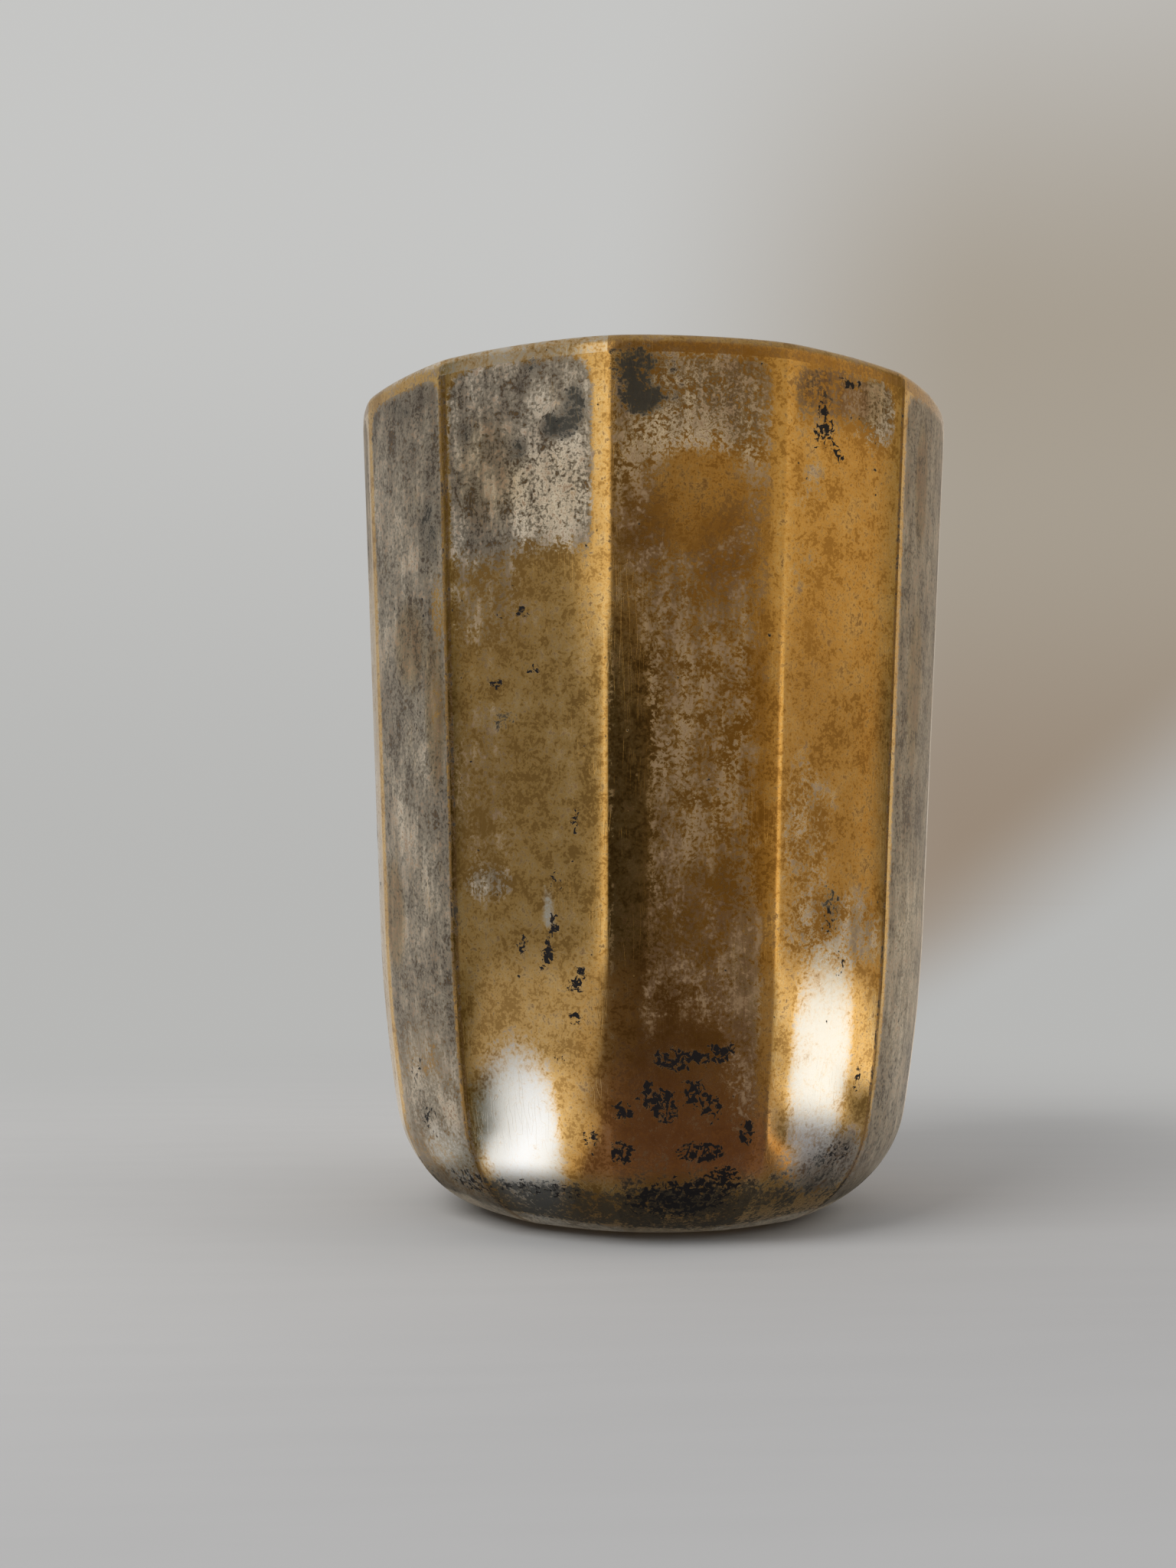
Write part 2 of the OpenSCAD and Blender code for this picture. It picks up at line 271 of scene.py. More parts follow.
class TumblerStage(bpy.types.PropertyGroup):
    """Floor, light and camera."""

    floor: colour("Floor", "Pale painted floor", (0.45, 0.452, 0.46))
    # Painted light: the floor is painted paler behind and to the left of the cup, as if more light fell there
    floor_back_painted_light: colour("Back of the floor", "The same behind the cup", (0.56, 0.56, 0.56))
    backdrop: colour("Backdrop", "Pale background at its top", (0.56, 0.56, 0.55))
    backdrop_low: colour("Low backdrop", "The same at the level of the floor", (0.475, 0.475, 0.465))
    backdrop_shade: colour("Shaded backdrop", "The same in the soft shade on the right", (0.385, 0.34, 0.28))
    backdrop_deep: colour("Deep shade", "The same low down in that shade", (0.315, 0.25, 0.19))
    overhead: colour("Overhead", "What the metal mirrors from above", (0.38, 0.37, 0.34))
    # Painted shade that the floor glows with under the foot, seen only in the metal
    under: colour("Under the foot", "What the metal mirrors from under its foot", (0.135, 0.128, 0.112))
    floor_radius: length("Floor radius", "How far the floor reaches", 16.0)
    key_power: FloatProperty(
        name="Key light", description="Power of the large soft light on the left", default=3.2, unit="POWER")
    fill_power: FloatProperty(
        name="Fill light", description="Power of the soft light on the right", default=1.0, unit="POWER")
    ambient: FloatProperty(name="Ambient", description="Strength of the even light all round", default=0.5)
    lens: FloatProperty(name="Lens", description="Focal length on a 36 mm long side, in mm", default=38.64)


# Shapes

def smooth(x):
    """Smooth step: 0 below 0, 1 above 1, and 3x squared less 2x cubed between."""
    x = np.clip(x, 0, 1)
    return x * x * (3 - 2 * x)


def outward(lean):
    """Unit vector (radius, height) that points out of a side line at a lean."""
    return np.stack([np.cos(lean), -np.sin(lean)], -1)


def wall_radius(sizes, inset, z):
    """Radius of the straight wall at a height: rim radius less the lean's run, less the inset."""
    run = (sizes.shoulder - z) * math.tan(sizes.wall_lean)
    return sizes.rim_radius - run - inset / math.cos(sizes.wall_lean)


def belly_centre(sizes):
    """Centre of the belly curve, one belly radius inside the wall where the curve begins."""
    start = np.array([wall_radius(sizes, 0, sizes.belly_height), sizes.belly_height])
    return start - sizes.belly_radius * outward(sizes.wall_lean)


def foot_curve(sizes, inset, floor, radius):
    """Lean at which the foot curve leaves the belly curve, and its centre.

    The circle touches the belly curve from inside and the floor from above.
    """
    centre, reach = belly_centre(sizes), sizes.belly_radius - inset - radius
    lean = math.asin((centre[1] - floor - radius) / reach)
    return lean, centre + reach * outward(lean)


def facet_radius(sizes, middle, angle, soft):
    """Radius at an angle from a facet's middle, from the radius at its middle.

    A facet is an arc about a point one bow behind the axis. The next facet's arc at the same place
    rounds the ridge: the smaller of the two radii, blended over a soft width by a logarithm.
    """
    bow = sizes.facet_bow

    def bowed(turn):
        return np.sqrt((middle + bow) ** 2 - (bow * np.sin(turn)) ** 2) - bow * np.cos(turn)

    near, far = bowed(angle), bowed(2 * HALF_FACET - np.abs(angle))
    return near - soft * np.log1p(np.exp(-(far - near) / soft))


def facet_middle(sizes, radius, angle):
    """Radius at a facet's middle, from the radius at an angle from it."""
    bow = sizes.facet_bow
    return np.sqrt(radius ** 2 + 2 * radius * bow * np.cos(angle) + bow ** 2) - bow


def facet_columns():
    """Facet number, place across it from -1 to 1, angle from its middle, direction and ridge softness.

    Points crowd towards the ridges. A direction is counted from -Y towards +X.
    """
    even = np.linspace(-1, 1, ACROSS, endpoint=False)
    crowded = EVEN_SHARE * even + (1 - EVEN_SHARE) * np.sin(even * math.pi / 2)
    facet = np.repeat(np.arange(FACETS), ACROSS)
    place = np.tile(crowded, FACETS)
    share = (place + 1) / 2
    shift, soft = (
        ridges[facet] * (1 - share) + np.roll(ridges, -1)[facet] * share
        for ridges in (RIDGE_SHIFT, RIDGE_SOFT))
    angle = place * HALF_FACET
    direction = facet * 2 * HALF_FACET + angle + shift
    return facet, place, angle, direction, soft


def shell_side(sizes, inset, angle, rows):
    """Side line of the shell: radius at the facet's middle and height, one column per angle.

    A straight lean from the shoulder, the belly curve, then the foot curve to the round opening.
    """
    wall_rows, belly_rows, foot_rows = rows
    foot = sizes.foot_radius - inset
    lean, hub = foot_curve(sizes, inset, inset, foot)
    end = np.arccos((facet_middle(sizes, sizes.opening_radius, angle) - hub[0]) / foot)
    wall_z = np.linspace(sizes.shoulder, sizes.belly_height, wall_rows, endpoint=False)
    belly = belly_centre(sizes) + (sizes.belly_radius - inset) * outward(
        np.linspace(sizes.wall_lean, lean, belly_rows, endpoint=False))
    turn = lean + (end - lean) * np.linspace(0, 1, foot_rows)[:, None]
    wall = np.stack([wall_radius(sizes, inset, wall_z), wall_z], -1)
    upper = np.concatenate([wall, belly])[:, None]
    return np.concatenate([np.repeat(upper, len(angle), 1), hub + foot * outward(turn)])


def placed(radius, direction, z):
    """Points at radii, directions from -Y and heights."""
    return np.stack([radius * np.sin(direction), -radius * np.cos(direction), z], -1)


def ring_faces(rows, columns, closed):
    """Quads of a grid that closes round its columns, and over its rows where closed."""
    row = np.arange(rows if closed else rows - 1)[:, None]
    column = np.arange(columns)[None, :]
    lower, beside = (row + 1) % rows, (column + 1) % columns
    turns = ((row, column), (lower, column), (lower, beside), (row, beside))
    corners = [down * columns + along for down, along in turns]
    return np.stack([np.broadcast_to(c, (row.size, columns)) for c in corners], -1).reshape(-1, 4)


def mesh_piece(name, points, faces, sharp):
    """A mesh object at the origin from points and faces, shaded smooth up to the sharp angle."""
    mesh = bpy.data.meshes.new(name)
    mesh.from_pydata(points.reshape(-1, 3).tolist(), [], faces)
    mesh.shade_smooth()
    mesh.set_sharp_from_angle(angle=sharp)
    if mesh.validate():
        raise RuntimeError(f"{name} has faulty faces")
    piece = bpy.data.objects.new(name, mesh)
    bpy.context.scene.collection.objects.link(piece)
    return piece


def loop_piece(name, points, sharp):
    """A piece whose section is a closed loop, carried round the axis."""
    rows, columns = points.shape[:2]
    return mesh_piece(name, points, ring_faces(rows, columns, True).tolist(), sharp)


def turned_piece(name, line):
    """A piece turned about the axis from a line of (radius, height) that starts and ends on it."""
    direction = np.linspace(0, 2 * math.pi, ROUND_COLUMNS, endpoint=False)
    body = line[1:-1]
    rows = len(body)
    points = placed(body[:, :1], direction, np.repeat(body[:, 1:], ROUND_COLUMNS, 1)).reshape(-1, 3)
    first, last = rows * ROUND_COLUMNS, rows * ROUND_COLUMNS + 1
    poles = np.array([[0, 0, line[0, 1]], [0, 0, line[-1, 1]]])
    column = np.arange(ROUND_COLUMNS)
    beside = (column + 1) % ROUND_COLUMNS
    edge = (rows - 1) * ROUND_COLUMNS
    fans = np.concatenate([
        np.stack([np.full_like(column, first), column, beside], -1),
        np.stack([edge + column, np.full_like(column, last), edge + beside], -1)])
    faces = ring_faces(rows, ROUND_COLUMNS, False).tolist() + fans.tolist()
    return mesh_piece(name, np.concatenate([points, poles]), faces, TURNED_SHARP)


def line_through(*stretches):
    """One line of points from stretches that may share their ends."""
    line = np.concatenate([np.atleast_2d(s) for s in stretches])
    apart = np.linalg.norm(np.diff(line, axis=0), axis=1) > SAME_POINT
    return line[np.append(True, apart)]


def straight(start, end, count):
    """Evenly spaced points from start to end."""
    return np.linspace(start, end, count)


def arc(centre, radius, start, end, count):
    """Points on a circle in the section, from one angle to another, counted from outwards to up."""
    turn = np.linspace(start, end, count)
    return np.asarray(centre) + radius * np.stack([np.cos(turn), np.sin(turn)], -1)


# Painted fields

# The worn panels, in mm: the height where they end under the rim, the rounding of their corners, how soft
# their edge is, where wear begins above the foot and how far up it grows, and how soft a patch's end is
PANEL_TOP = 97.9
PANEL_CORNER = 3.0
PANEL_EDGE = 1.1
WEAR_START = 6
WEAR_RISE = 12
PATCH_EDGE = 6
# The brown lines along ridges, in mm: how far off the ridge, and half their width
LINE_OFF = 0.30
LINE_HALF = 0.32
# The foot's rubbed edge, in mm: its height in front, how much more it has at the sides, and how soft it is.
# Towards the sides the pale edge is also a painted reflection of the pale floor.
RUBBED_SHEEN_HEIGHT = 2.0
RUBBED_SHEEN_SIDES = 2.4
RUBBED_SHEEN_EDGE = 0.9
# The rim's edge, in mm: the height where it turns over, and how soft the change of finish is there
RIM_TURN = 98.4
RIM_TURN_EDGE = 1.2
# Facets whose marks are all listed one by one, and where marks are strewn on the others, in mm across and up
HAND_MARKED = (0, 1, 2, 10, 11)
STREWN_ACROSS = (-8, 8)
STREWN_UP = (4, 97)


def below(height, top, soft):
    """1 well below a top and 0 above it: the smooth step of what is left to the top over a soft stretch."""
    return smooth((top - height) / soft)


def band(value, middle, half):
    """1 at a middle and 0 a half width from it: the smooth step of 1 less the distance in half widths."""
    return smooth(1 - np.abs(value - middle) / half)


def cover(across, height, mark):
    """How much a mark covers each point: all its strength inside half its oval, none past one and a half."""
    _, mid_across, mid_height, half_across, half_height, strength = mark
    away = np.hypot((across - mid_across) / half_across, (height - mid_height) / half_height)
    return strength * smooth(1.5 - away)


def painted(facet, across, height, marks):
    """Sum of the marks on every point, in mm across and up."""
    field = np.zeros(height.shape)
    for mark in marks:
        field += np.where(facet == mark[0], cover(across, height, mark), 0)
    return field


def random_marks(seed, count, width, tall, strength):
    """Marks strewn over the facets that have none listed one by one."""
    facets = [f for f in range(FACETS) if f not in HAND_MARKED]
    rng = np.random.default_rng(seed)
    return list(zip(
        rng.choice(facets, count),
        *(rng.uniform(*limits, count) for limits in (STREWN_ACROSS, STREWN_UP, width, tall, strength))))


def finish_fields(facet, place, radius, height):
    """Fields from 0 to 1 over a grid of faceted points, from each column's facet and place across it.

    Radii and heights are in mm. Wear keeps clear of the ridges and the rim inside a rounded panel, and
    fades above the foot. Brown lines run along ridges, the toe darkens towards the bottom, the foot's edge
    is rubbed pale, taller towards the sides where it also paints a reflection of the pale floor, and marks
    are added to all of these.
    """
    half = radius * HALF_FACET
    across = half * place
    from_ridge = half * (1 - np.abs(place))
    whole, patch, patch_low, stained, *sides, toe = PANELS[facet].T
    margin, line = (np.where(place < 0, first, second) for first, second in (sides[:2], sides[2:]))
    line = line * smooth(1.3 - np.abs(from_ridge - LINE_OFF) / LINE_HALF)
    beside = PANELS[(facet + np.sign(place).astype(int)) % FACETS, -1]
    toe = toe + (beside - toe) * 0.5 * place ** 2
    sideways = np.sin((facet + place / 2) * 2 * HALF_FACET) ** 2
    # Pale rubbed wear along the foot's bottom edge, taller towards the sides, where it also paints a
    # reflection of the pale floor
    rubbed_and_sheen = below(height, RUBBED_SHEEN_HEIGHT + RUBBED_SHEEN_SIDES * sideways, RUBBED_SHEEN_EDGE)
    side = np.maximum(PANEL_CORNER - (from_ridge - margin), 0)
    top = np.maximum(PANEL_CORNER - (PANEL_TOP - height), 0)
    panel = smooth((PANEL_CORNER - np.hypot(side, top)) / PANEL_EDGE + 0.5)
    wear = whole * smooth((height - WEAR_START) / WEAR_RISE)
    wear += patch * smooth((height - patch_low) / PATCH_EDGE + 0.5)
    wear = panel * wear + 0.30 * below(height, 5, 3) + 0.5 * rubbed_and_sheen
    smoke_and_shade = toe * below(height, 8.5, 4.5) + 0.4 * line

    def strewn(marks, *rest):
        return painted(facet, across, height, marks + random_marks(*rest))

    smoke_and_shade += strewn(SMOKE_AND_SHADE_MARKS, 34, 30, (0.8, 2.4), (0.8, 2.4), (0.3, 0.9))
    specks = strewn(SPECK_MARKS, 21, 90, (0.6, 2.0), (0.6, 2.0), (0.5, 1))
    fields = {
        "wear": wear + strewn(WEAR_MARKS, 5, 26, (2, 5), (3, 9), (-0.3, 0.5)),
        "tone": 0.40 + 0.55 * rubbed_and_sheen + strewn(TONE_MARKS, 13, 20, (2, 5), (2, 6), (-0.2, 0.4)),
        "stain": stained * panel + line + strewn(STAIN_MARKS, 8, 30, (2, 6), (3, 10), (0.1, 0.4)),
        "smoke_and_shade": smoke_and_shade * (1 - 0.85 * rubbed_and_sheen),
        "specks": specks + 0.30 * below(height, 9, 5),
        "crust": 0.12 + painted(facet, across, height, CRUST_MARKS),
        "bright": strewn(POLISH_HIGHLIGHT_MARKS, 55, 7, (3, 5), (3, 9), (0.1, 0.35)),
        "edge": band(from_ridge, middle=0, half=2),
    }
    return {name: np.clip(np.broadcast_to(field, height.shape), 0, 1) for name, field in fields.items()}


def store_fields(piece, fields, shape):
    """Writes fields to the mesh as attributes on its points, which lie in a grid of that shape."""
    for name, field in fields.items():
        layer = piece.data.attributes.new(name, "FLOAT", "POINT")
        layer.data.foreach_set("value", np.broadcast_to(field, shape).astype(np.float32).ravel())


def points_of(piece):
    """A piece's points in mm."""
    points = np.empty(len(piece.data.vertices) * 3)
    piece.data.vertices.foreach_get("co", points)
    return points.reshape(-1, 3) / MM


# Materials

class Tree:
    """Short calls that add nodes to a tree and join them."""

    def __init__(self, tree):
        self.tree = tree
        self.tree.nodes.clear()

    def put(self, socket, value):
        """Sets a socket to a value, or joins an output to it."""
        if isinstance(value, bpy.types.NodeSocket):
            self.tree.links.new(value, socket)
        else:
            socket.default_value = value

    def add(self, kind, inputs=(), **settings):
        """A node with its settings, and its inputs by name or number."""
        node = self.tree.nodes.new(kind)
        for name, value in settings.items():
            setattr(node, name, value)
        for name, value in dict(inputs).items():
            self.put(node.inputs[name], value)
        return node

    def maths(self, operation, *values):
        """Arithmetic on one to three values."""
        return self.add("ShaderNodeMath", dict(enumerate(values)), operation=operation).outputs[0]

    def step(self, value, low, high, to_low=0.0, to_high=1.0):
        """A smooth step of a value from low to high."""
        inputs = {"Value": value, "From Min": low, "From Max": high, "To Min": to_low, "To Max": to_high}
        return self.add("ShaderNodeMapRange", inputs, interpolation_type="SMOOTHSTEP").outputs["Result"]

    def mix(self, share, first, second, kind="MIX"):
        """A mix of two colours."""
        node = self.add("ShaderNodeMix", {"Factor": share}, data_type="RGBA", blend_type=kind)
        for name, tint in (("A", first), ("B", second)):
            self.put(node.inputs[name], tint if isinstance(tint, bpy.types.NodeSocket) else (*tint, 1))
        return next(socket for socket in node.outputs if socket.type == "RGBA")

    def blend(self, share, first, second):
        """A mix of two values."""
        inputs = {"Factor": share, "A": first, "B": second}
        return self.add("ShaderNodeMix", inputs, data_type="FLOAT").outputs[0]

    def noise(self, where, scale, detail=3.0, roughness=0.55, distortion=0.0):
        """Cloudy noise, from 0 to 1 about 0.5."""
        inputs = {
            "Vector": where, "Scale": scale, "Detail": detail, "Roughness": roughness,
            "Distortion": distortion}
        return self.add("ShaderNodeTexNoise", inputs).outputs["Fac"]

    def stretched(self, where, scale, turn=(0.0, 0.0, 0.0)):
        """A place scaled and turned, for streaks and scratches."""
        inputs = {"Vector": where, "Scale": scale, "Rotation": turn}
        return self.add("ShaderNodeMapping", inputs).outputs["Vector"]

    def vector(self, operation, inputs):
        """The outputs of arithmetic on vectors."""
        return self.add("ShaderNodeVectorMath", inputs, operation=operation).outputs

    def attribute(self, name):
        """A field painted on the mesh."""
        return self.add("ShaderNodeAttribute", attribute_name=name).outputs["Fac"]

    def place(self):
        """Object coordinates."""
        return self.add("ShaderNodeTexCoord").outputs["Object"]

    def parts(self, where):
        """The X, Y and Z of a place."""
        return self.add("ShaderNodeSeparateXYZ", {"Vector": where}).outputs

    def end(self, shader, kind="ShaderNodeOutputMaterial"):
        """Joins a shader to the tree's output."""
        self.add(kind, {"Surface": shader.outputs[0]})


def new_material(name):
    """A new material and its empty tree."""
    material = bpy.data.materials.new(name)
    material.use_nodes = True
    return material, Tree(material.node_tree)


def group(name, inputs, outputs):
    """A new shader node group with its sockets, its tree, and its input and output nodes."""
    made = bpy.data.node_groups.new(name, "ShaderNodeTree")
    kinds = {"colour": "NodeSocketColor", "value": "NodeSocketFloat", "vector": "NodeSocketVector"}
    for label, (kind, default) in inputs.items():
        socket = made.interface.new_socket(name=label, in_out="INPUT", socket_type=kinds[kind])
        if default is not None:
            socket.default_value = default
    for label, kind in outputs.items():
        made.interface.new_socket(name=label, in_out="OUTPUT", socket_type=kinds[kind])
    tree = Tree(made)
    return made, tree, tree.add("NodeGroupInput").outputs, tree.add("NodeGroupOutput").inputs


def scratch_group():
    """Fine scratches: thin level lines of long stretched noise in three directions, broken up by clouds."""
    made, tree, given, result = group(
        "Fine scratches", {"Place": ("vector", None), "Amount": ("value", 0.5)}, {"Scratch": "value"})
    masks = []
    for turn, patches in (((0.5, 0.3, 0.2), 130.0), ((-0.4, 0.8, -0.5), 190.0), ((0.1, -0.2, 1.1), 270.0)):
        long = tree.stretched(given["Place"], (1400.0, 1400.0, 60.0), turn)
        field = tree.noise(long, 1.0, 1.0, 0.4)
        line = tree.step(tree.maths("ABSOLUTE", tree.maths("SUBTRACT", field, 0.5)), 0.0, 0.012, 1.0, 0.0)
        cloud = tree.noise(given["Place"], patches, 1.0)
        masks.append(tree.maths("MULTIPLY", line, tree.step(cloud, 0.50, 0.66)))
    most = tree.maths("MAXIMUM", tree.maths("MAXIMUM", masks[0], masks[1]), masks[2])
    tree.put(result["Scratch"], tree.maths("MULTIPLY", most, given["Amount"]))
    return made


def pit_group():
    """Small black pits: the middles of scattered cells, kept only where clouds are thick."""
    made, tree, given, result = group(
        "Tarnish pits",
        {"Place": ("vector", None), "Scale": ("value", 900.0), "Amount": ("value", 0.4)}, {"Pit": "value"})
    ripple = tree.add("ShaderNodeTexNoise", {"Vector": given["Place"], "Scale": 1800.0, "Detail": 2.0})
    shove = tree.vector("SCALE", {0: ripple.outputs["Color"], "Scale": 0.0006})[0]
    bent = tree.vector("ADD", {0: given["Place"], 1: shove})[0]
    cells = tree.add("ShaderNodeTexVoronoi", {"Vector": bent, "Scale": given["Scale"]})
    chance = tree.add("ShaderNodeSeparateColor", {"Color": cells.outputs["Color"]}).outputs["Red"]
    cloud = tree.noise(given["Place"], 110.0, 3.0)
    limit = tree.maths("MULTIPLY", tree.step(cloud, 0.42, 0.75), given["Amount"])
    kept = tree.maths("LESS_THAN", chance, limit)
    size = tree.maths("MULTIPLY_ADD", chance, 0.5, 0.12)
    spot = tree.step(tree.maths("SUBTRACT", cells.outputs["Distance"], size), -0.08, 0.06, 1.0, 0.0)
    tree.put(result["Pit"], tree.maths("MULTIPLY", spot, kept))
    return made


METALS = (
    "gilt_deep", "gilt", "gilt_pale", "plate_dark", "plate", "plate_pale",
    "bright", "bronze", "smoke_and_shade", "black")
FIELDS = ("wear", "tone", "stain", "smoke_and_shade", "specks", "crust", "bright", "edge")


def worn_gilt_group(scratches, pits):
    """Gold wash over silver plate, worn through, stained, smoked and specked.

    Each field decides where its layer lies, and noise breaks its edge: clouds about a cm wide, mottling a
    few mm wide, and hatching and grain of about a mm and less. The layers go on in this order: gold, bare
    plate, brown stain, polish with painted highlights, smoke with some painted shade, scratches, specks.
    """
    finish = bpy.context.scene.tumbler_finish
    colours = {f"{name} colour": ("colour", (*getattr(finish, name), 1)) for name in METALS}
    covers = {name: ("value", 0.0) for name in FIELDS}
    made, tree, given, result = group(
        "Worn gilding", {**colours, **covers, "pits": ("value", 0.5), "scratching": ("value", 0.5)},
        {"Colour": "colour", "Roughness": "value", "Metallic": "value", "Height": "value"})
    place = tree.place()
    cloud = tree.noise(place, 95.0, 3.0, 0.6)
    streak = tree.noise(tree.stretched(place, (1.0, 1.0, 0.22)), 620.0, 5.0, 0.65)
    mottle = tree.noise(place, 340.0, 6.0, 0.72)
    hatch = tree.noise(place, 900.0, 5.0, 0.68, 1.8)
    grain = tree.noise(place, 2400.0, 4.0, 0.66)
    fleck = tree.noise(place, 3300.0, 2.0, 0.6)
    crumb = tree.noise(place, 1500.0, 3.0, 0.6, 0.8)

    def more(value, *noises):
        """The value with noises about 0.5 added, each by an amount."""
        for field, amount in noises:
            value = tree.maths("MULTIPLY_ADD", tree.maths("SUBTRACT", field, 0.5), amount, value)
        return value

    def broken(name, mottled, grained, low, high):
        """A field's cover, with its edge broken by mottling and grain."""
        value = more(given[name], (cloud, 0.6), (mottle, mottled), (hatch, grained), (grain, grained))
        return tree.step(value, low, high)

    def kept(layer, name, low, high):
        """A layer faded out where its field is low."""
        return tree.maths("MULTIPLY", layer, tree.step(given[name], low, high))

    thin = tree.step(given["wear"], 0.1, 0.5, 0.5, 2.1)
    gone = tree.step(given["wear"], 0.5, 0.8, 1.0, 0.5)
    bare = broken("wear", tree.maths("MULTIPLY", gone, 1.4), tree.maths("MULTIPLY", gone, thin), 0.14, 0.74)
    bare = kept(bare, "wear", 0.03, 0.16)
    brown = broken("stain", 2.2, 2.8, 0.08, 0.96)
    # Smoke: dark tarnish, which on facet 1's toe also paints a dark reflection
    sooty_and_shade = kept(broken("smoke_and_shade", 3.0, 2.0, 0.24, 0.92), "smoke_and_shade", 0.02, 0.20)
    # Polish, which on the toes of facets 11 and 1 also paints the white highlights
    polish_and_highlight = kept(broken("bright", 0.9, 1.0, 0.05, 1.0), "bright", 0.02, 0.20)
    speck = tree.step(more(given["specks"], (crumb, 2.3)), 0.86, 0.97)
    pitted, lines = (
        tree.add("ShaderNodeGroup", {"Place": place, "Amount": given[name]}, node_tree=made_before).outputs[0]
        for name, made_before in (("pits", pits), ("scratching", scratches)))
    speck = tree.maths("MAXIMUM", speck, pitted)

    # The gold's tone: paler by the ridges, and paler where the polish field paints highlights
    sheen = tree.maths("MULTIPLY_ADD", given["bright"], 0.6, tree.blend(given["edge"], 0.5, 0.62))
    sheen = more(sheen, (cloud, 1.2), (mottle, 2.8), (hatch, 1.9), (grain, 2.2))
    gold = tree.mix(tree.step(sheen, 0.12, 0.5), given["gilt_deep colour"], given["gilt colour"])
    gold = tree.mix(tree.step(sheen, 0.5, 1.0), gold, given["gilt_pale colour"])
    coarse = tree.step(given["crust"], 0.0, 1.0, 2.4, 6.6)
    blotched = tree.step(given["crust"], 0.0, 0.12, 2.1, 3.0)
    streaked = tree.step(given["crust"], 0.0, 0.12, 1.5, 2.2)
    tone = more(
        given["tone"], (cloud, 1.2), (mottle, blotched), (streak, streaked), (hatch, coarse), (grain, coarse))
    silver = tree.mix(tree.step(tone, -0.20, 0.56), given["plate_dark colour"], given["plate colour"])
    silver = tree.mix(tree.step(tone, 0.48, 1.32), silver, given["plate_pale colour"])
    silver = tree.mix(tree.step(given["stain"], 0.06, 0.36), silver, (1.0, 0.92, 0.74), "MULTIPLY")
    shade = tree.mix(bare, gold, silver)
    for layer, amount, name in (
            (brown, 0.72, "bronze"), (polish_and_highlight, 1.0, "bright"), (sooty_and_shade, 0.90, "smoke_and_shade"),
            (lines, 0.4, "gilt_pale"), (speck, 1.0, "black")):
        shade = tree.mix(tree.maths("MULTIPLY", layer, amount), shade, given[f"{name} colour"])
    tree.put(result["Colour"], shade)

    matt = more(0.13, (cloud, 0.10), (mottle, 0.14))
    for layer, amount, value in (
            (given["edge"], 0.8, 0.08), (bare, 1.0, tree.blend(mottle, 0.38, 0.56)), (brown, 0.6, 0.34),
            (polish_and_highlight, 1.0, 0.20), (tree.maths("MAXIMUM", sooty_and_shade, speck), 1.0, 0.5)):
        matt = tree.blend(tree.maths("MULTIPLY", layer, amount), matt, value)
    tree.put(result["Roughness"], more(matt, (fleck, 0.08)))

    metal = tree.blend(bare, 1.0, tree.step(tone, 0.5, 1.2, 0.80, 0.50))
    for layer, value in ((polish_and_highlight, 1.0), (sooty_and_shade, 0.5), (speck, 0.2)):
        metal = tree.blend(layer, metal, value)
    tree.put(result["Metallic"], metal)

    high = tree.maths("MULTIPLY", bare, tree.maths("SUBTRACT", grain, 0.5))
    for layer, amount in ((speck, -0.25), (lines, -0.3), (mottle, 0.4)):
        high = tree.maths("MULTIPLY_ADD", layer, amount, high)
    tree.put(result["Height"], high)
    return made


def metal_material(name, pits, scratching, bump):
    """A material on the worn gilding group, which takes its fields from the mesh."""
    gilding = bpy.data.node_groups.get("Worn gilding") or worn_gilt_group(scratch_group(), pit_group())
    material, tree = new_material(name)
    fields = {field: tree.attribute(field) for field in FIELDS}
    covers = tree.add(
        "ShaderNodeGroup", {**fields, "pits": pits, "scratching": scratching}, node_tree=gilding)
    raised = tree.add("ShaderNodeBump", {
        "Strength": bump, "Distance": 0.00004, "Height": covers.outputs["Height"]})
    shader = tree.add("ShaderNodeBsdfPrincipled", {
        "Base Color": covers.outputs["Colour"], "Roughness": covers.outputs["Roughness"],
        "Metallic": covers.outputs["Metallic"], "Specular IOR Level": 0.2,
        "Normal": raised.outputs["Normal"]})
    tree.end(shader)
    return material


def dress(piece, node, material):
    """Gives a piece its material in a slot and its body, and hides the imported node that it stands for."""
    piece.data.materials.append(material)
    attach(piece, "root")
    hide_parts(node)


# Operators

class TUMBLER_OT_faceted_shell(bpy.types.Operator):
    """Builds the outer wall: twelve bowed facets that run round the foot to the base plate"""

    bl_idname = "tumbler.faceted_shell"
    bl_label = "Faceted shell"

    def execute(self, context):
        sizes = context.scene.tumbler_sizes
        facet, place, angle, direction, soft = facet_columns()
        outside = shell_side(sizes, 0, angle, OUTSIDE_ROWS)
        inside = shell_side(sizes, sizes.shell_thickness, angle, INSIDE_ROWS)[::-1]
        loop = np.concatenate([outside, inside])
        radius = facet_radius(sizes, loop[..., 0], angle, soft)
        piece = loop_piece("faceted_shell_skin", placed(radius, direction, loop[..., 1]), FACET_SHARP)
        store_fields(piece, finish_fields(facet, place, radius / MM, loop[..., 1] / MM), radius.shape)
        material = metal_material("Worn gilt facets", pits=0.18, scratching=0.5, bump=0.4)
        dress(piece, "faceted_shell", material)
        return {"FINISHED"}


